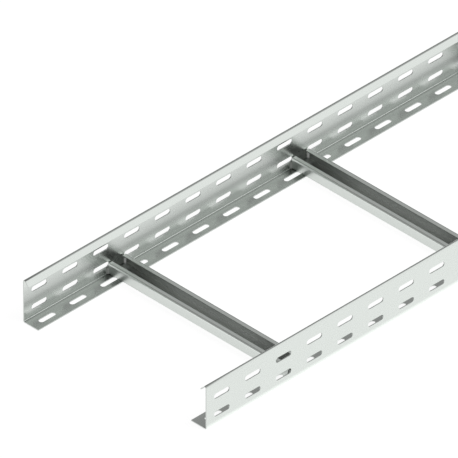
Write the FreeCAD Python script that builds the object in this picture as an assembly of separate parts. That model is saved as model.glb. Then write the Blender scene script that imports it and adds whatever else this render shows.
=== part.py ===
# Cable ladder section: two punched steel side rails and ten welded C-profile rungs.
# Millimetres. +X runs along the rails, +Y across the ladder, +Z up.
# The origin is the centre of the ladder's footprint, on the floor that the rails lie on.
import FreeCAD, Part
import math
import os
from FreeCAD import Vector

# Whole ladder
ladder_length = 3000.0
ladder_width = 300.0
seat_clearance = 0.3

# Side rail, bent from one strip: foot flange, upright web and a lip folded in and down
rail_height = 60.0
rail_sheet = 1.5
rail_bend_radius = 2.5
foot_width = 25.0
lip_reach = 10.0
lip_slope = 45.0

# Punched slots, all with their long side along the rail. The slots that take the splice bolts
# at each end of the low web row, and the bracket bolts in the middle of the foot row, have true
# round ends. The ends of the other slots are drawn with a few flats, because there are so many.
slot_length = 25.0
slot_width = 7.0
slot_pitch = 50.0
web_row_low = 15.0
web_row_high = 40.0
foot_row = 14.0
slot_end_flats = 3
bolted_slots = 2

# Rung, an open C with its mouth upward
rung_pitch = 300.0
rung_width = 30.0
rung_height = 15.0
rung_mouth = 16.5
rung_sheet = 1.5
rung_bend_radius = 2.0

# Weld beads at the ends of each rung wall
weld_leg = 2.2

# Worked out from the sizes above
rail_inner_radius = rail_bend_radius - rail_sheet
web_inner_face = ladder_width / 2 - rail_sheet
rung_end = web_inner_face - rail_inner_radius - seat_clearance
rung_seat = rail_sheet
weld_bottom = rung_seat + rail_inner_radius + seat_clearance
weld_top = web_row_low - slot_width / 2 - seat_clearance


def places(pitch):
    """Centres along X of a row that starts half a pitch from the rail's end."""
    count = int(ladder_length // pitch)
    return [(index + 0.5) * pitch - count * pitch / 2 for index in range(count)]


def unit(vector):
    return vector * (1 / vector.Length)


def rounded_edges(corners, radius):
    """Straight edges through the corners, with an arc of the given radius at each inner corner."""
    edges = []
    start = corners[0]
    for before, corner, after in zip(corners, corners[1:], corners[2:]):
        back = unit(before - corner)
        ahead = unit(after - corner)
        half_angle = back.getAngle(ahead) / 2
        reach = radius / math.tan(half_angle)
        centre = corner + unit(back + ahead) * (radius / math.sin(half_angle))
        arc_start = corner + back * reach
        arc_end = corner + ahead * reach
        arc_middle = centre + unit(corner - centre) * radius
        edges.append(Part.makeLine(start, arc_start))
        edges.append(Part.Arc(arc_start, arc_middle, arc_end).toShape())
        start = arc_end
    edges.append(Part.makeLine(start, corners[-1]))
    return edges


def inside_corners(corners, sheet, plane_normal):
    """The outer corners moved one sheet thickness to the inner side of the bends."""
    steps = [unit(b - a) for a, b in zip(corners, corners[1:])]
    sides = [plane_normal.cross(step) for step in steps]
    moved = [corners[0] + sides[0] * sheet]
    for corner, side, next_side in zip(corners[1:], sides, sides[1:]):
        moved.append(corner + (side + next_side) * (sheet / (1 + side.dot(next_side))))
    moved.append(corners[-1] + sides[-1] * sheet)
    return moved


def bent_section(corners, sheet, radius, plane_normal):
    """Face of a bent sheet: its outer side runs through the corners, its bends have the outer radius."""
    inner = inside_corners(corners, sheet, plane_normal)
    outer_edges = rounded_edges(corners, radius)
    inner_edges = rounded_edges(inner, radius - sheet)
    first_cap = Part.makeLine(corners[0], inner[0])
    last_cap = Part.makeLine(corners[-1], inner[-1])
    loop = Part.__sortEdges__([first_cap, *outer_edges, last_cap, *inner_edges])
    return Part.Face(Part.Wire(loop))


def slot_end(centre, side, tip, rounded):
    """Edges round one end of a slot, from centre + side over centre + tip to centre - side."""
    if rounded:
        return [Part.Arc(centre + side, centre + tip, centre - side).toShape()]
    turns = [math.pi * step / slot_end_flats for step in range(slot_end_flats + 1)]
    points = [centre + side * math.cos(turn) + tip * math.sin(turn) for turn in turns]
    return [Part.makeLine(a, b) for a, b in zip(points, points[1:])]


def slot_cutter(centre, across, through, rounded):
    """Bar along X, longer than the sheet is thick, that cuts one slot centred on the sheet."""
    side = across * (slot_width / 2)
    tip = Vector(slot_width / 2, 0, 0)
    flat_half = Vector((slot_length - slot_width) / 2, 0, 0)
    base = centre - through * rail_sheet
    right = base + flat_half
    left = base - flat_half
    edges = [
        Part.makeLine(left + side, right + side),
        *slot_end(right, side, tip, rounded),
        Part.makeLine(right - side, left - side),
        *slot_end(left, side * -1, tip * -1, rounded),
    ]
    return Part.Face(Part.Wire(edges)).extrude(through * (2 * rail_sheet))


def rail_slots(outer_face):
    """Cutters for the two web rows and the foot row of the rail on the +Y side."""
    row_places = places(slot_pitch)
    splice_places = row_places[:bolted_slots] + row_places[-bolted_slots:]
    middle = len(row_places) // 2
    bracket_places = row_places[middle - bolted_slots // 2 : middle + bolted_slots // 2]
    web_middle = outer_face - rail_sheet / 2
    upward = Vector(0, 0, 1)
    outward = Vector(0, 1, 0)
    cutters = []
    for x in row_places:
        low = Vector(x, web_middle, web_row_low)
        high = Vector(x, web_middle, web_row_high)
        foot = Vector(x, outer_face - foot_row, rail_sheet / 2)
        cutters.append(slot_cutter(low, upward, outward, x in splice_places))
        cutters.append(slot_cutter(high, upward, outward, False))
        cutters.append(slot_cutter(foot, outward, upward, x in bracket_places))
    return cutters


def left_rail():
    """Side rail on the +Y side, with its open side towards the ladder's middle."""
    outer_face = ladder_width / 2
    fold = math.radians(90 - lip_slope)
    fold_corner = rail_height - rail_bend_radius + rail_bend_radius / math.tan(fold / 2)
    lip_end = fold_corner - lip_reach * math.tan(math.radians(lip_slope))
    start = -ladder_length / 2
    corners = [
        Vector(start, outer_face - foot_width, 0),
        Vector(start, outer_face, 0),
        Vector(start, outer_face, fold_corner),
        Vector(start, outer_face - lip_reach, lip_end),
    ]
    section = bent_section(corners, rail_sheet, rail_bend_radius, Vector(1, 0, 0))
    rail = section.extrude(Vector(ladder_length, 0, 0))
    return rail.cut(rail_slots(outer_face))


def weld_bead(wall_face, outward):
    """Three-sided bead in the corner of a rung wall's face and the web, at the +Y end."""
    foot = Vector(wall_face, web_inner_face, weld_bottom)
    along_web = foot + Vector(outward * weld_leg, 0, 0)
    along_wall = foot - Vector(0, weld_leg, 0)
    edges = [
        Part.makeLine(foot, along_web),
        Part.makeLine(along_web, along_wall),
        Part.makeLine(along_wall, foot),
    ]
    return Part.Face(Part.Wire(edges)).extrude(Vector(0, 0, weld_top - weld_bottom))


def wall_root(low_x):
    """Weld metal that fills the gap between a rung wall's end and the web, at the +Y end."""
    corner = Vector(low_x, rung_end, weld_bottom)
    return Part.makeBox(rung_sheet, web_inner_face - rung_end, weld_top - weld_bottom, corner)


def rung():
    """One rung with its weld beads, centred on X = 0."""
    side = rung_width / 2
    lip_edge = rung_mouth / 2
    bottom = rung_seat
    top = rung_seat + rung_height
    corners = [
        Vector(lip_edge, -rung_end, top),
        Vector(side, -rung_end, top),
        Vector(side, -rung_end, bottom),
        Vector(-side, -rung_end, bottom),
        Vector(-side, -rung_end, top),
        Vector(-lip_edge, -rung_end, top),
    ]
    section = bent_section(corners, rung_sheet, rung_bend_radius, Vector(0, 1, 0))
    channel = section.extrude(Vector(0, 2 * rung_end, 0))
    beads = []
    for outward in (-1, 1):
        outer_face = outward * side
        inner_face = outward * (side - rung_sheet)
        beads.append(weld_bead(outer_face, outward))
        beads.append(weld_bead(inner_face, -outward))
        beads.append(wall_root(min(outer_face, inner_face)))
    far_beads = [bead.mirror(Vector(0, 0, 0), Vector(0, 1, 0)) for bead in beads]
    return channel.fuse(beads + far_beads).removeSplitter()


def single_solid(shape, name):
    if len(shape.Solids) != 1 or not shape.isValid():
        raise ValueError(name + " is not one valid solid")
    return shape.Solids[0]


def main():
    os.makedirs("parts", exist_ok=True)
    left = left_rail()
    pieces = {
        "side_rail_left": left,
        "side_rail_right": left.mirror(Vector(0, 0, 0), Vector(0, 1, 0)),
    }
    one_rung = rung()
    for index, x in enumerate(places(rung_pitch), start=1):
        pieces["rung_%02d" % index] = one_rung.translated(Vector(x, 0, 0))
    for name, shape in pieces.items():
        single_solid(shape, name).exportStep("parts/" + name + ".step")


main()
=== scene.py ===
import math

import bmesh
import bpy
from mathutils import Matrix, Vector


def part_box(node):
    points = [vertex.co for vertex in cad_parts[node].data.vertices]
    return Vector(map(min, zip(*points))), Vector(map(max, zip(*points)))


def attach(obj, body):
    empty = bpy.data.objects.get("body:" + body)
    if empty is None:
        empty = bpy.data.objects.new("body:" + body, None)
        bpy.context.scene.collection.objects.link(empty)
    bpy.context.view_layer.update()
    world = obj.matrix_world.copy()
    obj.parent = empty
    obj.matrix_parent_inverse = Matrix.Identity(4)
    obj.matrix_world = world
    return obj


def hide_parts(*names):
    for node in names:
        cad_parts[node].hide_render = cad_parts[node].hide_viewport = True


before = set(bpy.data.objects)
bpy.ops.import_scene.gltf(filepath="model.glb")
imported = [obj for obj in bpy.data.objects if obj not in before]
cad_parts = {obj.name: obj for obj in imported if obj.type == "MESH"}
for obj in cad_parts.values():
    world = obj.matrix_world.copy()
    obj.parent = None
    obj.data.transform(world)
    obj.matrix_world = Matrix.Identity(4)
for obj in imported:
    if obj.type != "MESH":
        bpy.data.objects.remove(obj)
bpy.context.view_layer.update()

bl_info = {
    "name": "Cable ladder section",
    "version": (1, 0, 0),
    "blender": (4, 5, 0),
    "location": "View3D > Sidebar > Cable ladder",
    "description": "Punched side rails, welded channel rungs and a plain studio for a cable ladder section",
    "category": "Object",
}

MM = 0.001

BODY = "root"

# Mesh attributes that keep each point's place in the flat strip, and how deep it lies in the sheet
ACROSS = "strip_across"
DEPTH = "strip_depth"

# Sockets of a Mix node, which has several of the same name and so needs their numbers
FLOAT_A, FLOAT_B = 2, 3
COLOUR_A, COLOUR_B = 6, 7
COLOUR_RESULT = 2

# Two directions are one where their cosine is above this, two points where they lie closer than this,
# and two vertices where their places are equal to this many decimals of a metre
SAME_DIRECTION = 0.99999
SAME_PLACE = 0.001 * MM
PLACE_DIGITS = 7

# Painted light and shade across a rail's strip, from the foot's rim over the web to the lip's rim, written
# into the zinc's colour. Outside, a painted highlight on the lower bend and a painted dark line on the top
# bend. Inside, painted shade over the foot that deepens in the fold and comes back between the web's slot
# rows, with a sharp painted highlight in the bend and a soft one at the lower slot row.
RAIL_OUTER_PAINTED_LIGHT = (
    (22.0 * MM, 1.0), (24.0 * MM, 1.28), (26.4 * MM, 1.28), (28.3 * MM, 1.13), (30.0 * MM, 1.0),
    (84.4 * MM, 1.0), (85.0 * MM, 0.55), (87.0 * MM, 0.55), (87.5 * MM, 1.0))
RAIL_INNER_PAINTED_LIGHT = (
    (0.0 * MM, 0.80), (6.0 * MM, 0.73), (19.6 * MM, 0.68), (20.6 * MM, 0.60), (21.0 * MM, 0.46),
    (22.4 * MM, 0.40), (22.7 * MM, 0.30), (24.1 * MM, 0.34), (24.6 * MM, 1.33), (26.8 * MM, 1.33),
    (27.3 * MM, 1.02), (29.4 * MM, 0.92), (33.0 * MM, 0.83), (35.5 * MM, 0.83), (37.5 * MM, 0.95),
    (39.5 * MM, 1.0), (41.8 * MM, 0.96), (44.5 * MM, 0.79), (47.5 * MM, 0.65), (50.0 * MM, 0.61),
    (55.0 * MM, 0.73), (59.0 * MM, 0.77), (68.0 * MM, 0.86), (76.0 * MM, 1.0))

# Painted light and shade across the outer side of half a rung's strip, from a lip's rim to the floor's
# middle: a painted dark line and a painted highlight on the bend from the lip to the wall
RUNG_OUTER_PAINTED_LIGHT = (
    (4.1 * MM, 1.08), (4.5 * MM, 0.70), (5.3 * MM, 0.72), (5.8 * MM, 1.28), (7.2 * MM, 1.28),
    (8.0 * MM, 1.0), (40.0 * MM, 1.0))

# Painted light and shade along a rung's inner side, from the rail's web towards mid span, on its walls and
# its floor: painted shade on the walls that deepens towards the rails, and a painted highlight and painted
# shade on the floor near the web
RUNG_WALL_PAINTED_SHADE = ((0.0 * MM, 0.585), (90.0 * MM, 1.0))
RUNG_FLOOR_PAINTED_LIGHT = (
    (0.0 * MM, 1.1), (9.0 * MM, 1.1), (12.5 * MM, 0.75), (40.0 * MM, 0.85), (60.0 * MM, 0.95),
    (90.0 * MM, 1.1))

# Where the floor begins in half a rung's strip
RUNG_FLOOR_FROM = 21.0 * MM

# The zinc's texture: what share the crystal patches have in its shade and the rolling lines in its
# shine, how many times longer than wide the lines are, how many clouds there are in a metre, the
# strength and depth of the lines' relief, and how far the shine wanders below and above its middle
PATCH_SHARE = 0.3
LINE_SHARE = 0.3
LINE_STRETCH = 150
CLOUDS_PER_METRE = 9.0
LINE_STRENGTH = 0.02
LINE_DEPTH = 0.01 * MM
ZINC_SHINE_SPREAD = (-0.02, 0.03)

# Cut edges and welds: their darkest and lightest shade, how far their shine wanders, the strength of
# their relief, and the spacing and depth of their fine tears
BARE_SHADES = (0.9, 1.1)
BARE_SHINE_SPREAD = (-0.06, 0.06)
BARE_STRENGTH = 0.2
CUT_TEARS = (0.4 * MM, 0.03 * MM)
WELD_TEARS = (0.9 * MM, 0.05 * MM)

# Between these two most values of a noise texture lie
NOISE_LOW, NOISE_HIGH = 0.3, 0.7

# Share of a weld scale's height over which it steps out, before it slopes back to the next scale
WELD_STEP_RISE = 1 / 6

# A weld's leg at its two ends, as a share of the full leg, and how fast it grows from there
WELD_END_LEG = 0.6
WELD_LEG_GROWTH = 1.6

# Mesh rows in each weld scale, and steps across a weld's face
WELD_SCALE_ROWS = 6
WELD_FACE_STEPS = 6

# Directions in the studio: where its far side goes over from behind to ahead, where its bright side
# sets in, and how high its white horizon reaches
FAR_SIDE_SPAN = (-0.6, 0.6)
BRIGHT_SIDE_SPAN = (0.25, 0.95)
HORIZON_SPAN = (0.05, 0.15)

# The camera's nearest distance, and its farthest one as a multiple of its own distance
CLIP_START = 0.1
CLIP_END_FACTOR = 5

# The frame gives the places of the pieces that the steel is built on
rail_low, rail_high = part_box("side_rail_left")
rung_low, rung_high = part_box("rung_01")
RUNG_NODES = sorted(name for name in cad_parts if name.startswith("rung_"))


class RailSizes(bpy.types.PropertyGroup):
    """Sizes of a side rail, which is punched flat and then bent."""

    sheet: bpy.props.FloatProperty(
        name="Sheet", description="Thickness of the rail's sheet",
        default=1.5 * MM, unit="LENGTH", precision=4)
    bend_radius: bpy.props.FloatProperty(
        name="Bend radius", description="Outer radius of the rail's two bends",
        default=2.5 * MM, unit="LENGTH", precision=4)
    lip_reach: bpy.props.FloatProperty(
        name="Lip reach", description="How far the top lip reaches in from the outer face",
        default=10.0 * MM, unit="LENGTH", precision=4)
    lip_slope: bpy.props.FloatProperty(
        name="Lip slope", description="How steeply the top lip runs down",
        default=math.radians(45), subtype="ANGLE")
    slot_length: bpy.props.FloatProperty(
        name="Slot length", description="Length of a punched slot",
        default=25.0 * MM, unit="LENGTH", precision=4)
    slot_width: bpy.props.FloatProperty(
        name="Slot width", description="Width of a punched slot",
        default=7.0 * MM, unit="LENGTH", precision=4)
    slot_pitch: bpy.props.FloatProperty(
        name="Slot pitch", description="Distance between slots in a row",
        default=50.0 * MM, unit="LENGTH", precision=4)
    web_row_low: bpy.props.FloatProperty(
        name="Low web row", description="Height of the lower slot row in the web",
        default=15.0 * MM, unit="LENGTH", precision=4)
    web_row_high: bpy.props.FloatProperty(
        name="High web row", description="Height of the upper slot row in the web",
        default=40.0 * MM, unit="LENGTH", precision=4)
    foot_row: bpy.props.FloatProperty(
        name="Foot row", description="Distance of the foot's slot row from the outer face",
        default=14.0 * MM, unit="LENGTH", precision=4)


class RungSizes(bpy.types.PropertyGroup):
    """Sizes of a rung, an open C with its mouth upward."""

    width: bpy.props.FloatProperty(
        name="Width", description="Width of the rung along the rails",
        default=30.0 * MM, unit="LENGTH", precision=4)
    mouth: bpy.props.FloatProperty(
        name="Mouth", description="Width of the open mouth between the lips",
        default=16.5 * MM, unit="LENGTH", precision=4)
    sheet: bpy.props.FloatProperty(
        name="Sheet", description="Thickness of the rung's sheet",
        default=1.5 * MM, unit="LENGTH", precision=4)
    bend_radius: bpy.props.FloatProperty(
        name="Bend radius", description="Outer radius of the rung's bends",
        default=2.0 * MM, unit="LENGTH", precision=4)
    end_gap: bpy.props.FloatProperty(
        name="End gap", description="Gap between the rung's end and the rail's web, which the weld fills",
        default=1.3 * MM, unit="LENGTH", precision=4)
    weld_leg: bpy.props.FloatProperty(
        name="Weld leg", description="Leg of the fillet welds at the rung's walls",
        default=2.2 * MM, unit="LENGTH", precision=4)
    weld_foot: bpy.props.FloatProperty(
        name="Weld foot", description="Height of the lower end of the welds outside the rung",
        default=1.7 * MM, unit="LENGTH", precision=4)
    weld_low: bpy.props.FloatProperty(
        name="Weld bottom", description="Height of the lower end of the welds inside the rung",
        default=2.9 * MM, unit="LENGTH", precision=4)
    weld_high: bpy.props.FloatProperty(
        name="Weld top", description="Height of the upper end of the welds",
        default=11.2 * MM, unit="LENGTH", precision=4)
    weld_ripple: bpy.props.FloatProperty(
        name="Weld ripple", description="Depth of the scales on the weld's face",
        default=0.15 * MM, unit="LENGTH", precision=5)
    weld_scales: bpy.props.IntProperty(
        name="Weld scales", description="Number of scales on a weld's face", default=7, min=1)


class MeshDetail(bpy.types.PropertyGroup):
    """How finely bends, slot ends and broken edges are drawn."""

    edge_break: bpy.props.FloatProperty(
        name="Edge break", description="Width of the small bevel that blanking leaves on cut edges",
        default=0.15 * MM, unit="LENGTH", precision=5)
    bend_step: bpy.props.FloatProperty(
        name="Bend step", description="Turn between two lines of a bend",
        default=math.radians(9), subtype="ANGLE")
    slot_steps: bpy.props.IntProperty(
        name="Slot end steps", description="Edges in each quarter turn of a slot's end",
        default=6, min=2)
    band_margin: bpy.props.FloatProperty(
        name="Band margin", description="Flat steel on each side of a slot row that is meshed with the row",
        default=1.5 * MM, unit="LENGTH", precision=4)


class SteelFinish(bpy.types.PropertyGroup):
    """Colour and texture of the zinc-coated strip steel."""

    rail_colour: bpy.props.FloatVectorProperty(
        name="Rail colour", description="Colour of the rails' zinc coat",
        default=(0.712, 0.748, 0.718), subtype="COLOR", size=3)
    # Painted shade: the same zinc as the rails, set a little darker to stand in for the dimmer light on the
    # rungs' walls
    rung_colour: bpy.props.FloatVectorProperty(
        name="Rung colour", description="Colour of the rungs' zinc coat",
        default=(0.672, 0.706, 0.678), subtype="COLOR", size=3)
    edge_colour: bpy.props.FloatVectorProperty(
        name="Edge colour", description="Colour of punched and sheared edges",
        default=(0.60, 0.625, 0.605), subtype="COLOR", size=3)
    # Painted shade: the bare weld metal outside the rungs is set darker than the same metal inside
    weld_outside: bpy.props.FloatVectorProperty(
        name="Weld outside", description="Colour of the bare weld metal outside the rungs",
        default=(0.335, 0.352, 0.333), subtype="COLOR", size=3)
    # Painted light: the weld metal inside the rungs is set much lighter than outside, to stand in for light
    # falling on it
    weld_inside: bpy.props.FloatVectorProperty(
        name="Weld inside", description="Colour of the weld metal inside the rungs",
        default=(0.86, 0.875, 0.86), subtype="COLOR", size=3)
    rail_roughness: bpy.props.FloatProperty(
        name="Rail roughness", description="Roughness of the rails' faces",
        default=0.27, min=0.0, max=1.0, subtype="FACTOR")
    rung_roughness: bpy.props.FloatProperty(
        name="Rung roughness", description="Roughness of the rungs' faces",
        default=0.36, min=0.0, max=1.0, subtype="FACTOR")
    edge_roughness: bpy.props.FloatProperty(
        name="Edge roughness", description="Roughness of punched and sheared edges",
        default=0.38, min=0.0, max=1.0, subtype="FACTOR")
    weld_lean: bpy.props.FloatProperty(
        name="Weld lean", description="How far the fine scales of the welds lean back to face upward",
        default=math.radians(27), subtype="ANGLE")
    # Painted light: the rungs' inner zinc is set lighter than their outer zinc, to stand in for the light
    # inside the channel
    rung_inside_painted_light: bpy.props.FloatVectorProperty(
        name="Rung inside", description="Colour of the zinc on the rungs' inner side",
        default=(0.75, 0.773, 0.75), subtype="COLOR", size=3)
    shade_range: bpy.props.FloatProperty(
        name="Shade range", description="How far the zinc coat's colour wanders from lighter to darker",
        default=0.012, min=0.0, max=1.0, subtype="FACTOR")
    spangle: bpy.props.FloatProperty(
        name="Spangle", description="Size of the zinc coat's crystal patches",
        default=9.0 * MM, unit="LENGTH", precision=4)
    grain: bpy.props.FloatProperty(
        name="Grain", description="Spacing of the fine rolling lines across the strip",
        default=0.8 * MM, unit="LENGTH", precision=4)


class StudioSetup(bpy.types.PropertyGroup):
    """Floor, light and camera."""

    floor_colour: bpy.props.FloatVectorProperty(
        name="Floor colour", description="Colour of the pale floor under the soft lamp",
        default=(0.2, 0.2, 0.2), subtype="COLOR", size=3)
    floor_glow: bpy.props.FloatProperty(
        name="Floor glow",
        description="Brightness that the camera and the steel see in the floor by itself",
        default=0.9, min=0.0)
    floor_size: bpy.props.FloatProperty(
        name="Floor size", description="Width of the floor", default=60.0, unit="LENGTH")
    floor_gap: bpy.props.FloatProperty(
        name="Floor gap", description="How far the floor lies below the rails' feet",
        default=0.2 * MM, unit="LENGTH", precision=5)
    bright_side: bpy.props.FloatProperty(
        name="Bright side", description="Brightness of the studio on the right rail's side",
        default=1.05, min=0.0)
    far_side_ahead: bpy.props.FloatProperty(
        name="Far side ahead",
        description="Brightness of the studio past the left rail, towards the rails' far end",
        default=0.45, min=0.0)
    far_side_behind: bpy.props.FloatProperty(
        name="Far side behind",
        description="Brightness of the studio past the left rail, towards the rails' near end",
        default=0.31, min=0.0)
    lamp_power: bpy.props.FloatProperty(
        name="Lamp power", description="Power of the soft lamp that shades the floor",
        default=60.0, min=0.0, unit="POWER")
    lamp_size: bpy.props.FloatProperty(
        name="Lamp size", description="Width of the soft lamp", default=3.0, unit="LENGTH")
    lamp_place: bpy.props.FloatVectorProperty(
        name="Lamp place", description="Where the soft lamp hangs",
        default=(0.5, -2.0, 3.0), subtype="TRANSLATION", size=3)
    lens: bpy.props.FloatProperty(
        name="Lens", description="Focal length of the camera in millimetres, long enough to look parallel",
        default=1650.0, min=1.0)
    azimuth: bpy.props.FloatProperty(
        name="Azimuth", description="Turn of the camera round the ladder",
        default=math.radians(-44.852), subtype="ANGLE")
    elevation: bpy.props.FloatProperty(
        name="Elevation", description="Height angle of the camera",
        default=math.radians(35.314), subtype="ANGLE")
    distance: bpy.props.FloatProperty(
        name="Distance", description="Distance of the camera from the point it looks at",
        default=24.3012, unit="LENGTH")
    target: bpy.props.FloatVectorProperty(
        name="Target", description="Point in the picture's middle",
        default=(-1.23849, 0.07618, 0.03791), subtype="TRANSLATION", size=3, precision=5)


class LadderSettings(bpy.types.PropertyGroup):
    """Everything that a user may change before building the ladder."""

    rail: bpy.props.PointerProperty(
        type=RailSizes, name="Rail", description="Sizes of the side rails")
    rung: bpy.props.PointerProperty(
        type=RungSizes, name="Rung", description="Sizes of the rungs")
    detail: bpy.props.PointerProperty(
        type=MeshDetail, name="Detail", description="How finely the steel is meshed")
    finish: bpy.props.PointerProperty(
        type=SteelFinish, name="Finish", description="Colour and texture of the steel")
    studio: bpy.props.PointerProperty(
        type=StudioSetup, name="Studio", description="Floor, light and camera")


def settings():
    return bpy.context.scene.cable_ladder


# Node materials


def add_node(tree, kind, values=(), **attributes):
    """A shader node with its input values given by name or index."""
    node = tree.nodes.new(kind)
    for name, value in attributes.items():
        setattr(node, name, value)
    for socket, value in dict(values).items():
        node.inputs[socket].default_value = value
    return node


def link(tree, source, output, target, socket):
    tree.links.new(source.outputs[output], target.inputs[socket])


def new_material(name):
    material = bpy.data.materials.new(name)
    material.use_nodes = True
    tree = material.node_tree
    tree.nodes.clear()
    output = add_node(tree, "ShaderNodeOutputMaterial")
    return material, tree, output


def scaled(colour, factor):
    return (*[min(1.0, part * factor) for part in colour], 1.0)


def tone_ramp(tree, across, output, colour, tones):
    """The colour, toned by the place across the strip. tones are pairs of place and brightness."""
    width = tones[-1][0]
    share = add_node(tree, "ShaderNodeMath", {1: 1 / width}, operation="MULTIPLY")
    ramp = add_node(tree, "ShaderNodeValToRGB")
    stops = ramp.color_ramp.elements
    stops.remove(stops[1])
    stops[0].color = scaled(colour, tones[0][1])
    for distance, tone in tones:
        stops.new(distance / width).color = scaled(colour, tone)
    link(tree, across, output, share, 0)
    link(tree, share, 0, ramp, "Fac")
    return ramp


def by_side(tree, outer, outer_output, inner, inner_output):
    """One colour on the sheet's outer side and another on its inner side."""
    depth = add_node(tree, "ShaderNodeAttribute", attribute_name=DEPTH)
    side = add_node(tree, "ShaderNodeMix", data_type="RGBA")
    link(tree, depth, "Fac", side, "Factor")
    link(tree, outer, outer_output, side, COLOUR_A)
    link(tree, inner, inner_output, side, COLOUR_B)
    return side


def rail_painted_light(tree):
    """The rail's zinc with painted light and shade across its strip on each side."""
    colour = settings().finish.rail_colour
    across = add_node(tree, "ShaderNodeAttribute", attribute_name=ACROSS)
    outer = tone_ramp(tree, across, "Fac", colour, RAIL_OUTER_PAINTED_LIGHT)
    inner = tone_ramp(tree, across, "Fac", colour, RAIL_INNER_PAINTED_LIGHT)
    return by_side(tree, outer, "Color", inner, "Color")


def rung_painted_light(tree):
    """Painted dark lines and highlights on the bends outside. Inside, painted shade on the walls towards
    the rails, and painted light and shade along the floor.
    """
    finish, rung = settings().finish, settings().rung
    height = rung_high.z - rung_low.z
    strip = 2 * (rung.width + height) - rung.mouth - 4 * (2 - math.pi / 2) * rung.bend_radius
    across = add_node(tree, "ShaderNodeAttribute", attribute_name=ACROSS)
    from_rim = add_node(tree, "ShaderNodeMath", {1: strip / 2}, operation="PINGPONG")
    link(tree, across, "Fac", from_rim, 0)
    outer = tone_ramp(tree, from_rim, 0, finish.rung_colour, RUNG_OUTER_PAINTED_LIGHT)
    place = add_node(tree, "ShaderNodeTexCoord")
    parts = add_node(tree, "ShaderNodeSeparateXYZ")
    aside = add_node(tree, "ShaderNodeMath", operation="ABSOLUTE")
    from_rail = add_node(tree, "ShaderNodeMath", {0: rung_high.y}, operation="SUBTRACT")
    link(tree, place, "Object", parts, "Vector")
    link(tree, parts, "Y", aside, 0)
    link(tree, aside, 0, from_rail, 1)
    wall = tone_ramp(tree, from_rail, 0, finish.rung_inside_painted_light, RUNG_WALL_PAINTED_SHADE)
    floor = tone_ramp(tree, from_rail, 0, finish.rung_inside_painted_light, RUNG_FLOOR_PAINTED_LIGHT)
    on_floor = add_node(tree, "ShaderNodeMath", {1: RUNG_FLOOR_FROM}, operation="GREATER_THAN")
    inner = add_node(tree, "ShaderNodeMix", data_type="RGBA")
    link(tree, from_rim, 0, on_floor, 0)
    link(tree, on_floor, 0, inner, "Factor")
    link(tree, wall, "Color", inner, COLOUR_A)
    link(tree, floor, "Color", inner, COLOUR_B)
    return by_side(tree, outer, "Color", inner, COLOUR_RESULT)


def uneven_shine(tree, noise, output, shader, roughness, spread):
    """Roughness that wanders round a middle value with a noise."""
    gloss = add_node(tree, "ShaderNodeMapRange", {
        "From Min": NOISE_LOW, "From Max": NOISE_HIGH,
        "To Min": roughness + spread[0], "To Max": roughness + spread[1]})
    link(tree, noise, output, gloss, "Value")
    link(tree, gloss, "Result", shader, "Roughness")


def strip_steel(name, painted_light_by_place, long_axis, roughness):
    """Zinc-coated strip: crystal patches, cloudy shade and fine rolling lines along the given axis."""
    finish = settings().finish
    material, tree, output = new_material(name)
    shader = add_node(tree, "ShaderNodeBsdfPrincipled", {"Metallic": 1.0})
    place = add_node(tree, "ShaderNodeTexCoord")

    line_scale = [1 / finish.grain] * 3
    line_scale[long_axis] = 1 / (finish.grain * LINE_STRETCH)
    stretch = add_node(tree, "ShaderNodeMapping", {"Scale": line_scale})
    lines = add_node(tree, "ShaderNodeTexNoise", {"Scale": 1.0, "Detail": 3.0, "Roughness": 0.6})
    patches = add_node(tree, "ShaderNodeTexVoronoi", {"Scale": 1 / finish.spangle, "Randomness": 1.0})
    patch_shade = add_node(tree, "ShaderNodeSeparateColor")
    clouds = add_node(tree, "ShaderNodeTexNoise", {
        "Scale": CLOUDS_PER_METRE, "Detail": 4.0, "Roughness": 0.55})
    link(tree, place, "Object", stretch, "Vector")
    link(tree, stretch, "Vector", lines, "Vector")
    link(tree, place, "Object", patches, "Vector")
    link(tree, place, "Object", clouds, "Vector")
    link(tree, patches, "Color", patch_shade, "Color")

    patch_weight = add_node(tree, "ShaderNodeMix", {"Factor": PATCH_SHARE}, data_type="FLOAT")
    link(tree, clouds, "Fac", patch_weight, FLOAT_A)
    link(tree, patch_shade, "Red", patch_weight, FLOAT_B)
    line_weight = add_node(tree, "ShaderNodeMix", {"Factor": LINE_SHARE}, data_type="FLOAT")
    link(tree, patch_weight, 0, line_weight, FLOAT_A)
    link(tree, lines, "Fac", line_weight, FLOAT_B)

    shade = add_node(tree, "ShaderNodeMapRange", {
        "To Min": 1 - finish.shade_range, "To Max": 1 + finish.shade_range})
    link(tree, patch_weight, 0, shade, "Value")
    # The base colour: the painted light and shade across the strip, times the zinc's random cloudy texture
    toned = add_node(tree, "ShaderNodeMix", {"Factor": 1.0}, data_type="RGBA", blend_type="MULTIPLY")
    link(tree, painted_light_by_place(tree), COLOUR_RESULT, toned, COLOUR_A)
    link(tree, shade, "Result", toned, COLOUR_B)
    link(tree, toned, COLOUR_RESULT, shader, "Base Color")
    uneven_shine(tree, line_weight, 0, shader, roughness, ZINC_SHINE_SPREAD)

    relief = add_node(tree, "ShaderNodeBump", {"Strength": LINE_STRENGTH, "Distance": LINE_DEPTH})
    link(tree, lines, "Fac", relief, "Height")
    link(tree, relief, "Normal", shader, "Normal")
    link(tree, shader, "BSDF", output, "Surface")
    return material


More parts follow.
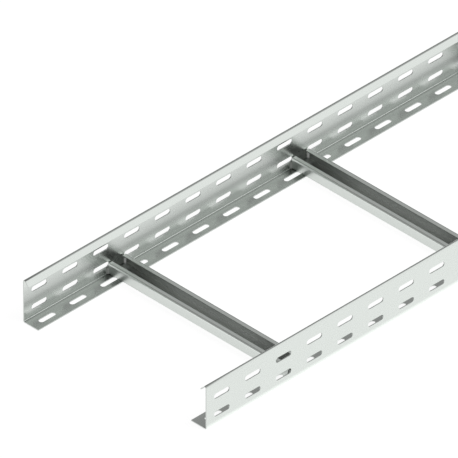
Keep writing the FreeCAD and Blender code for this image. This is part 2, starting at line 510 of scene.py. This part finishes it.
def bare_steel(name, colour, tears_size, lean=0.0):
    """Bare cut or weld metal, uneven in shade, shine and surface. tears_size is the spacing and depth of
    its fine tears, and lean the angle by which its fine scales lean back."""
    spacing, depth = tears_size
    material, tree, output = new_material(name)
    shader = add_node(tree, "ShaderNodeBsdfPrincipled", {"Metallic": 1.0})
    place = add_node(tree, "ShaderNodeTexCoord")
    tears = add_node(tree, "ShaderNodeTexNoise", {"Scale": 1 / spacing, "Detail": 4.0, "Roughness": 0.65})
    link(tree, place, "Object", tears, "Vector")
    darker, lighter = (scaled(colour, factor) for factor in BARE_SHADES)
    shade = add_node(tree, "ShaderNodeMix", {COLOUR_A: darker, COLOUR_B: lighter}, data_type="RGBA")
    link(tree, tears, "Fac", shade, "Factor")
    link(tree, shade, COLOUR_RESULT, shader, "Base Color")
    uneven_shine(tree, tears, "Fac", shader, settings().finish.edge_roughness, BARE_SHINE_SPREAD)
    relief = add_node(tree, "ShaderNodeBump", {"Strength": BARE_STRENGTH, "Distance": depth})
    link(tree, tears, "Fac", relief, "Height")
    if lean:
        surface = add_node(tree, "ShaderNodeNewGeometry")
        leaning = add_node(tree, "ShaderNodeVectorMath", {1: (0.0, 0.0, math.tan(lean))}, operation="ADD")
        unit = add_node(tree, "ShaderNodeVectorMath", operation="NORMALIZE")
        link(tree, surface, "Normal", leaning, 0)
        link(tree, leaning, "Vector", unit, 0)
        link(tree, unit, "Vector", relief, "Normal")
    link(tree, relief, "Normal", shader, "Normal")
    link(tree, shader, "BSDF", output, "Surface")
    return material


# Bent sheet


def bend_stations(points, radius, step, splits):
    """Stations along the outer side of a bent strip, each a point and the direction to its inner side.
    points are the outer corners, and every bend turns left. splits gives, for each straight run, the
    distances from the run's first corner where a station is wanted."""
    runs = list(zip(points, points[1:]))
    deltas = [end - start for start, end in runs]
    headings = [math.atan2(delta.y, delta.x) for delta in deltas]
    turns = [(after - before) % math.tau for before, after in zip(headings, headings[1:])]
    stations = []
    for index, (start, end) in enumerate(runs):
        ahead = (end - start).normalized()
        inner = Vector((-ahead.y, ahead.x))
        begin, finish = 0.0, (end - start).length
        if index > 0:
            begin = radius * math.tan(turns[index - 1] / 2)
        if index < len(turns):
            finish -= radius * math.tan(turns[index] / 2)
        for distance in [begin, *splits.get(index, ()), finish]:
            stations.append((start + ahead * distance, inner))
        if index < len(turns):
            steps = max(2, round(turns[index] / step))
            centre = start + ahead * finish + inner * radius
            for part in range(1, steps):
                angle = headings[index] + turns[index] * part / steps
                side = Vector((-math.sin(angle), math.cos(angle)))
                stations.append((centre - side * radius, side))
    return stations


class SheetMesh:
    """Collects the vertices and faces of a sheet of even thickness that was punched flat and bent."""

    def __init__(self, stations, sheet, edge_break, place):
        self.stations = stations
        self.sheet = sheet
        self.edge_break = edge_break
        self.place = place
        self.points = []
        self.across = []
        self.depths = []
        self.faces = []
        self.smooth = []
        self.cut = []
        self.known = {}
        self.widths = [0.0]
        for (before, _), (after, _) in zip(stations, stations[1:]):
            self.widths.append(self.widths[-1] + (after - before).length)

    def vertex(self, along, point, across, depth):
        """Number of the vertex at a place, made when it is first asked for."""
        key = tuple(round(value, PLACE_DIGITS) for value in (along, point.x, point.y))
        if key not in self.known:
            self.known[key] = len(self.points)
            self.points.append(self.place(along, point.x, point.y))
            self.across.append(across)
            self.depths.append(depth / self.sheet)
        return self.known[key]

    def at(self, along, index, depth, shift=0.0):
        """Vertex at a station, depth below the outer side. shift moves it out over the strip's rim."""
        point, inner = self.stations[index]
        if shift:
            step = 1 if index == 0 else -1
            ahead = Vector((inner.y, -inner.x)) * step
            point = point - ahead * shift
        return self.vertex(along, point + inner * depth, self.widths[index], depth)

    def face(self, corners, smooth=False, cut=False):
        """Adds a face, unless its corners fall together. cut faces get the cut edges' material."""
        kept = [corner for position, corner in enumerate(corners) if corner != corners[position - 1]]
        if len(kept) > 2:
            self.faces.append(kept)
            self.smooth.append(smooth)
            self.cut.append(cut)

    def plain_strip(self, alongs, index):
        """Both sides of the sheet between two neighbouring stations."""
        bent = self.stations[index][1].dot(self.stations[index + 1][1]) < SAME_DIRECTION
        for depth in (0.0, self.sheet):
            for a, b in zip(alongs, alongs[1:]):
                self.face([self.at(a, index, depth), self.at(b, index, depth),
                           self.at(b, index + 1, depth), self.at(a, index + 1, depth)], smooth=bent)

    def cut_faces(self, near, far):
        """A cut edge between two lines of four vertices: a broken corner, the cut, a broken corner."""
        for first in range(3):
            self.face([near[first], far[first], far[first + 1], near[first + 1]],
                      smooth=first != 1, cut=True)

    def long_edges(self, alongs):
        """The strip's two long cut edges, with broken corners."""
        edge = self.edge_break
        last = len(self.stations) - 1
        for index in (0, last):
            for a, b in zip(alongs, alongs[1:]):
                self.cut_faces(*[[
                    self.at(x, index, 0.0), self.at(x, index, edge, edge),
                    self.at(x, index, self.sheet - edge, edge), self.at(x, index, self.sheet)]
                    for x in (a, b)])

    def end_caps(self, alongs):
        """The two sheared ends, with broken corners."""
        edge = self.edge_break
        last = len(self.stations) - 1
        for face_at, sign in ((alongs[0], -1), (alongs[-1], 1)):
            tip = face_at + sign * edge
            for index in range(last):
                self.cut_faces(*[[
                    self.at(face_at, i, 0.0), self.at(tip, i, edge),
                    self.at(tip, i, self.sheet - edge), self.at(face_at, i, self.sheet)]
                    for i in (index, index + 1)])
            for index in (0, last):
                outer_edge = self.at(face_at, index, edge, edge)
                inner_edge = self.at(face_at, index, self.sheet - edge, edge)
                outer_tip = self.at(tip, index, edge)
                inner_tip = self.at(tip, index, self.sheet - edge)
                for corners in ([self.at(face_at, index, 0.0), outer_edge, outer_tip],
                                [outer_edge, inner_edge, inner_tip, outer_tip],
                                [self.at(face_at, index, self.sheet), inner_edge, inner_tip]):
                    self.face(corners, smooth=True, cut=True)

    def build(self, name, materials):
        """The sheet's object. Materials are its face's and its cut edges'."""
        return closed_object(name, self.points, self.faces, self.smooth, self.cut, materials,
                             ((ACROSS, self.across), (DEPTH, self.depths)))


def closed_object(name, points, faces, smooth, second, materials, attributes=()):
    """Object of a closed mesh. second says for each face whether it gets the second of the two
    materials. attributes are pairs of a name and the points' values."""
    mesh = bpy.data.meshes.new(name)
    mesh.from_pydata(points, [], faces)
    for material in materials:
        mesh.materials.append(material)
    mesh.polygons.foreach_set("use_smooth", smooth)
    mesh.polygons.foreach_set("material_index", [int(is_second) for is_second in second])
    for attribute, values in attributes:
        mesh.attributes.new(attribute, "FLOAT", "POINT").data.foreach_set("value", values)
    face_outward(mesh)
    return link_object(name, mesh)


def face_outward(mesh):
    """Turns the faces of a mesh to the outside, and raises an error where it isn't closed."""
    work = bmesh.new()
    work.from_mesh(mesh)
    bmesh.ops.recalc_face_normals(work, faces=work.faces)
    if work.calc_volume(signed=True) < 0:
        bmesh.ops.reverse_faces(work, faces=work.faces)
    open_edges = sum(1 for edge in work.edges if not edge.is_manifold)
    work.to_mesh(mesh)
    work.free()
    mesh.update()
    if open_edges:
        raise RuntimeError(mesh.name + " has open edges: " + str(open_edges))


def link_object(name, mesh):
    built = bpy.data.objects.new(name, mesh)
    bpy.context.scene.collection.objects.link(built)
    return built


def settle(piece, material_slot, *nodes):
    """The piece moves with the ladder, and stands for the CAD nodes where any are given."""
    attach(piece, BODY)
    if nodes:
        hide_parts(*nodes)


def row_places(low, high, pitch):
    """Centres of a row of punched slots that fills the length."""
    count = int((high - low) / pitch + 0.5)
    return [low + (index + 0.5) * pitch for index in range(count)]


def side_rail(name, side, materials):
    """One side rail. side is 1 for the left rail and -1 for the right one."""
    rail, detail = settings().rail, settings().detail
    outer_face = rail_high.y
    foot_width = rail_high.y - rail_low.y
    base, top = rail_low.z, rail_high.z
    edge = detail.edge_break
    half_band = rail.slot_width / 2 + detail.band_margin
    fold = (math.pi / 2 - rail.lip_slope) / 2
    corner_height = top - rail.bend_radius + rail.bend_radius / math.tan(fold)
    lip_drop = rail.lip_reach * math.tan(rail.lip_slope)
    corners = [
        Vector((outer_face - foot_width, base)),
        Vector((outer_face, base)),
        Vector((outer_face, corner_height)),
        Vector((outer_face - rail.lip_reach, corner_height - lip_drop)),
    ]
    foot_middle = foot_width - rail.foot_row
    splits = {0: [foot_middle - half_band, foot_middle, foot_middle + half_band], 1: []}
    for row in (rail.web_row_low, rail.web_row_high):
        splits[1] += [row - half_band, row, row + half_band]
    stations = bend_stations(corners, rail.bend_radius, detail.bend_step, splits)
    stations[0] = (stations[0][0] + Vector((edge, 0)), stations[0][1])
    lip_step = (stations[-1][0] - stations[-2][0]).normalized() * edge
    stations[-1] = (stations[-1][0] - lip_step, stations[-1][1])

    sheet = SheetMesh(stations, rail.sheet, edge, lambda along, y, z: (along, side * y, z))
    centres = row_places(rail_low.x, rail_high.x, rail.slot_pitch)
    cell_edges = [centre - rail.slot_pitch / 2 for centre in centres[1:]]
    alongs = [rail_low.x + edge, *cell_edges, rail_high.x - edge]
    middles = [Vector((outer_face - rail.foot_row, base)),
               Vector((outer_face, base + rail.web_row_low)),
               Vector((outer_face, base + rail.web_row_high))]
    slot_rows = [index for index, (point, _) in enumerate(stations)
                 if any((point - middle).length < SAME_PLACE for middle in middles)]
    if len(slot_rows) != len(middles):
        raise RuntimeError("the slot rows don't lie on the rail's flats")
    index = 0
    while index < len(stations) - 1:
        if index + 1 in slot_rows:
            for first, last, centre in zip(alongs, alongs[1:], centres):
                add_slot_cell(sheet, first, last, centre, index)
            index += 2
        else:
            sheet.plain_strip(alongs, index)
            index += 1
    sheet.long_edges(alongs)
    sheet.end_caps(alongs)
    return sheet.build(name, materials)


def add_slot_cell(sheet, first, last, centre, index):
    """One punched slot with the flat steel round it, between two cross lines of the strip."""
    rail, detail = settings().rail, settings().detail
    middle, inner = sheet.stations[index + 1]
    across = (sheet.stations[index + 2][0] - sheet.stations[index][0]).normalized()
    edge = detail.edge_break
    radius = rail.slot_width / 2
    straight = rail.slot_length / 2 - radius
    quarter = [math.pi / 2 * part / detail.slot_steps for part in range(detail.slot_steps + 1)]
    rings = ((edge, 0.0), (0.0, edge), (0.0, rail.sheet - edge), (edge, rail.sheet))
    for side, border in ((1, index + 2), (-1, index)):
        loops = []
        for grow, depth in rings:
            reach = radius + grow
            right = [(centre + straight + reach * math.cos(turn), side * reach * math.sin(turn))
                     for turn in quarter]
            left = [(2 * centre - x, y) for x, y in reversed(right)]
            loops.append([
                sheet.vertex(x, middle + across * y + inner * depth, sheet.widths[index + 1] + y, depth)
                for x, y in right + left])
        for depth, ring in ((0.0, loops[0]), (rail.sheet, loops[-1])):
            sheet.face([sheet.at(last, index + 1, depth), *ring, sheet.at(first, index + 1, depth),
                        sheet.at(first, border, depth), sheet.at(last, border, depth)])
        for near, far in zip(loops, loops[1:]):
            for a in range(len(near) - 1):
                sheet.face([near[a], near[a + 1], far[a + 1], far[a]], smooth=True, cut=True)


def rung_channel(name, middle, materials):
    """One rung without its welds."""
    rung, detail = settings().rung, settings().detail
    side = rung.width / 2
    lip = rung.mouth / 2
    low, high = rung_low.z, rung_high.z
    edge = detail.edge_break
    corners = [Vector((lip, high)), Vector((side, high)), Vector((side, low)),
               Vector((-side, low)), Vector((-side, high)), Vector((-lip, high))]
    corners.reverse()
    stations = bend_stations(corners, rung.bend_radius, detail.bend_step, {})
    stations[0] = (stations[0][0] - Vector((edge, 0)), stations[0][1])
    stations[-1] = (stations[-1][0] + Vector((edge, 0)), stations[-1][1])
    reach = rung_high.y - rung.end_gap
    sheet = SheetMesh(stations, rung.sheet, edge, lambda along, x, z: (middle + x, along, z))
    alongs = [-reach + edge, reach - edge]
    for index in range(len(stations) - 1):
        sheet.plain_strip(alongs, index)
    sheet.long_edges(alongs)
    sheet.end_caps(alongs)
    return sheet.build(name, materials)


def bead_face(share):
    """Points of a weld's face from the wall to the web, as distances off the web and off the wall. share
    is the height on the bead, from 0 at its lower end to 1 at the upper one."""
    rung = settings().rung
    leg = rung.weld_leg * min(1.0, WELD_END_LEG + WELD_LEG_GROWTH * math.sin(math.pi * share))
    scale = (share * rung.weld_scales) % 1.0
    if share < 1.0:
        scale = min(scale / WELD_STEP_RISE, (1 - scale) / (1 - WELD_STEP_RISE))
    points = []
    for part in range(WELD_FACE_STEPS + 1):
        turn = part / WELD_FACE_STEPS
        swell = rung.weld_ripple * scale * math.sin(math.pi * turn) * math.sqrt(0.5)
        points.append((leg * (1 - turn) + swell, leg * turn + swell))
    return points


def weld_beads(name, middle, materials):
    """The welds at both ends of one rung: a bead on each side of each wall, and its root in the gap.
    Materials are the outer bead's and the inner bead's."""
    rung = settings().rung
    web = rung_high.y
    wall_outer = rung.width / 2
    wall_inner = wall_outer - rung.sheet
    layers = WELD_SCALE_ROWS * rung.weld_scales
    points, faces, smooth, inner = [], [], [], []
    for end in (1, -1):
        for wall in (1, -1):
            rows = []
            for layer in range(layers + 1):
                share = layer / layers
                face = bead_face(share)
                outside = rung.weld_foot + (rung.weld_high - rung.weld_foot) * share
                inside = rung.weld_low + (rung.weld_high - rung.weld_low) * share
                outline = [(wall_outer + off_wall, off_web, outside) for off_web, off_wall in face]
                outline += [(wall_inner - off_wall, off_web, inside)
                            for off_web, off_wall in reversed(face)]
                row = []
                for off_middle, off_web, z in outline:
                    row.append(len(points))
                    points.append((middle + wall * off_middle, end * (web - off_web), z))
                rows.append(row)
            size = len(rows[0])
            for below, above in zip(rows, rows[1:]):
                for a in range(size):
                    b = (a + 1) % size
                    faces.append([below[a], below[b], above[b], above[a]])
                    smooth.append(a not in (WELD_FACE_STEPS, size - 1))
                    inner.append(a > WELD_FACE_STEPS)
            faces += [rows[0], rows[-1]]
            smooth += [False, False]
            inner += [False, False]
    return closed_object(name, points, faces, smooth, inner, materials)


def steel(name):
    """One of the ladder's materials, made when first asked for."""
    if name in bpy.data.materials:
        return bpy.data.materials[name]
    finish = settings().finish
    if name == "rail_zinc":
        return strip_steel(name, rail_painted_light, 0, finish.rail_roughness)
    if name == "rung_zinc":
        return strip_steel(name, rung_painted_light, 1, finish.rung_roughness)
    if name == "cut_edge":
        return bare_steel(name, finish.edge_colour, CUT_TEARS)
    if name in ("weld_outside", "weld_inside"):
        return bare_steel(name, getattr(finish, name), WELD_TEARS, finish.weld_lean)
    raise RuntimeError("no steel is named " + name)


# Studio


def pale_floor():
    """Floor that shows white to the camera and in the steel, and keeps a faint soft shadow."""
    studio = settings().studio
    material, tree, output = new_material("pale_floor")
    matt = add_node(tree, "ShaderNodeBsdfDiffuse", {"Color": (*studio.floor_colour, 1.0)})
    glow = add_node(tree, "ShaderNodeEmission", {"Strength": studio.floor_glow})
    rays = add_node(tree, "ShaderNodeLightPath")
    seen = add_node(tree, "ShaderNodeMath", operation="MAXIMUM")
    seen_through = add_node(tree, "ShaderNodeMath", operation="MAXIMUM")
    link(tree, rays, "Is Camera Ray", seen, 0)
    link(tree, rays, "Is Glossy Ray", seen, 1)
    link(tree, seen, 0, seen_through, 0)
    link(tree, rays, "Is Transmission Ray", seen_through, 1)
    choice = add_node(tree, "ShaderNodeMixShader")
    link(tree, seen_through, 0, choice, "Fac")
    link(tree, glow, 0, choice, 2)
    both = add_node(tree, "ShaderNodeAddShader")
    link(tree, matt, 0, both, 0)
    link(tree, choice, 0, both, 1)
    link(tree, both, 0, output, "Surface")
    half = studio.floor_size / 2
    level = rail_low.z - studio.floor_gap
    mesh = bpy.data.meshes.new("floor")
    corners = [(-half, -half, level), (half, -half, level), (half, half, level), (-half, half, level)]
    mesh.from_pydata(corners, [], [(0, 1, 2, 3)])
    mesh.materials.append(material)
    link_object("floor", mesh)


def fade(tree, source, output, places, levels):
    """A level that goes smoothly from one value to another between two places."""
    node = add_node(tree, "ShaderNodeMapRange", {
        "From Min": places[0], "From Max": places[1],
        "To Min": levels[0], "To Max": levels[1]}, interpolation_type="SMOOTHSTEP")
    link(tree, source, output, node, "Value")
    return node


def turn_to(tree, share, level, output, value):
    """A level that gives way to a fixed value by a share."""
    node = add_node(tree, "ShaderNodeMix", {FLOAT_B: value}, data_type="FLOAT")
    link(tree, share, "Result", node, "Factor")
    link(tree, level, output, node, FLOAT_A)
    return node


def studio_world():
    """A studio that is bright on one side and grey on the other, with a white horizon all round."""
    studio = settings().studio
    world = bpy.data.worlds.new("studio")
    bpy.context.scene.world = world
    world.use_nodes = True
    tree = world.node_tree
    tree.nodes.clear()
    output = add_node(tree, "ShaderNodeOutputWorld")
    direction = add_node(tree, "ShaderNodeTexCoord")
    parts = add_node(tree, "ShaderNodeSeparateXYZ")
    link(tree, direction, "Generated", parts, "Vector")
    towards = add_node(tree, "ShaderNodeMath", operation="SUBTRACT")
    link(tree, parts, "X", towards, 0)
    link(tree, parts, "Y", towards, 1)
    far_side = fade(tree, parts, "X", FAR_SIDE_SPAN, (studio.far_side_behind, studio.far_side_ahead))
    bright = fade(tree, towards, 0, BRIGHT_SIDE_SPAN, (0.0, 1.0))
    near_horizon = fade(tree, parts, "Z", HORIZON_SPAN, (1.0, 0.0))
    level = turn_to(tree, bright, far_side, "Result", studio.bright_side)
    with_horizon = turn_to(tree, near_horizon, level, 0, 1.0)
    background = add_node(tree, "ShaderNodeBackground", {"Color": (1.0, 1.0, 1.0, 1.0)})
    link(tree, with_horizon, 0, background, "Strength")
    link(tree, background, "Background", output, "Surface")


def soft_lamp():
    """A soft lamp that the steel doesn't mirror."""
    studio = settings().studio
    data = bpy.data.lights.new("soft_lamp", "AREA")
    data.shape = "SQUARE"
    data.size = studio.lamp_size
    data.energy = studio.lamp_power
    lamp = bpy.data.objects.new("soft_lamp", data)
    bpy.context.scene.collection.objects.link(lamp)
    lamp.location = studio.lamp_place
    lamp.rotation_euler = (-Vector(studio.lamp_place)).to_track_quat("-Z", "Y").to_euler()
    lamp.visible_glossy = False


def camera():
    """The photograph's camera, far off with a long lens."""
    studio = settings().studio
    data = bpy.data.cameras.new("camera")
    data.lens = studio.lens
    data.clip_start = CLIP_START
    data.clip_end = studio.distance * CLIP_END_FACTOR
    back = Vector((
        math.sin(studio.azimuth) * math.cos(studio.elevation),
        -math.cos(studio.azimuth) * math.cos(studio.elevation),
        math.sin(studio.elevation)))
    placed = bpy.data.objects.new("camera", data)
    bpy.context.scene.collection.objects.link(placed)
    placed.location = Vector(studio.target) + back * studio.distance
    placed.rotation_euler = (-back).to_track_quat("-Z", "Y").to_euler()
    bpy.context.scene.camera = placed


# Operators and panel


class LADDER_OT_side_rails(bpy.types.Operator):
    """Build the two punched and bent side rails"""

    bl_idname = "cable_ladder.side_rails"
    bl_label = "Side rails"
    bl_options = {"REGISTER", "UNDO"}

    def execute(self, context):
        materials = (steel("rail_zinc"), steel("cut_edge"))
        for word, side in (("left", 1), ("right", -1)):
            rail = side_rail("rail_sheet_" + word, side, materials)
            settle(rail, "rail_steel", "side_rail_" + word)
        return {"FINISHED"}


class LADDER_OT_rungs(bpy.types.Operator):
    """Build the channel rungs"""

    bl_idname = "cable_ladder.rungs"
    bl_label = "Rungs"
    bl_options = {"REGISTER", "UNDO"}

    def execute(self, context):
        materials = (steel("rung_zinc"), steel("cut_edge"))
        for node in RUNG_NODES:
            low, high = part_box(node)
            channel = rung_channel(node.replace("rung", "channel"), (low.x + high.x) / 2, materials)
            settle(channel, "rung_steel", node)
        return {"FINISHED"}


class LADDER_OT_welds(bpy.types.Operator):
    """Build the weld beads between the rungs and the rails"""

    bl_idname = "cable_ladder.welds"
    bl_label = "Weld beads"
    bl_options = {"REGISTER", "UNDO"}

    def execute(self, context):
        materials = (steel("weld_outside"), steel("weld_inside"))
        for node in RUNG_NODES:
            low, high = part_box(node)
            beads = weld_beads(node.replace("rung", "welds"), (low.x + high.x) / 2, materials)
            settle(beads, "rung_steel")
        return {"FINISHED"}


class LADDER_OT_stage(bpy.types.Operator):
    """Set up the pale floor, the soft light and the camera"""

    bl_idname = "cable_ladder.stage"
    bl_label = "Studio"
    bl_options = {"REGISTER", "UNDO"}

    def execute(self, context):
        pale_floor()
        studio_world()
        soft_lamp()
        camera()
        context.scene.view_settings.view_transform = "Standard"
        return {"FINISHED"}


OPERATORS = (LADDER_OT_side_rails, LADDER_OT_rungs, LADDER_OT_welds, LADDER_OT_stage)
GROUPS = ("rail", "rung", "detail", "finish", "studio")


class LADDER_PT_build(bpy.types.Panel):
    """Sizes, colours and build steps of the cable ladder"""

    bl_idname = "LADDER_PT_build"
    bl_label = "Cable ladder"
    bl_space_type = "VIEW_3D"
    bl_region_type = "UI"
    bl_category = "Cable ladder"

    def draw(self, context):
        ladder = context.scene.cable_ladder
        for operator in OPERATORS:
            self.layout.operator(operator.bl_idname)
        for group_name in GROUPS:
            group = getattr(ladder, group_name)
            box = self.layout.box()
            box.label(text=group_name.capitalize())
            for name in group.__annotations__:
                box.prop(group, name)


CLASSES = (
    RailSizes, RungSizes, MeshDetail, SteelFinish, StudioSetup, LadderSettings, *OPERATORS, LADDER_PT_build)


def register():
    for item in CLASSES:
        bpy.utils.register_class(item)
    bpy.types.Scene.cable_ladder = bpy.props.PointerProperty(
        type=LadderSettings, name="Cable ladder", description="Settings of the cable ladder")


def unregister():
    del bpy.types.Scene.cable_ladder
    for item in reversed(CLASSES):
        bpy.utils.unregister_class(item)


def main():
    register()
    bpy.ops.cable_ladder.side_rails()
    bpy.ops.cable_ladder.rungs()
    bpy.ops.cable_ladder.welds()
    bpy.ops.cable_ladder.stage()


if __name__ == "__main__":
    main()
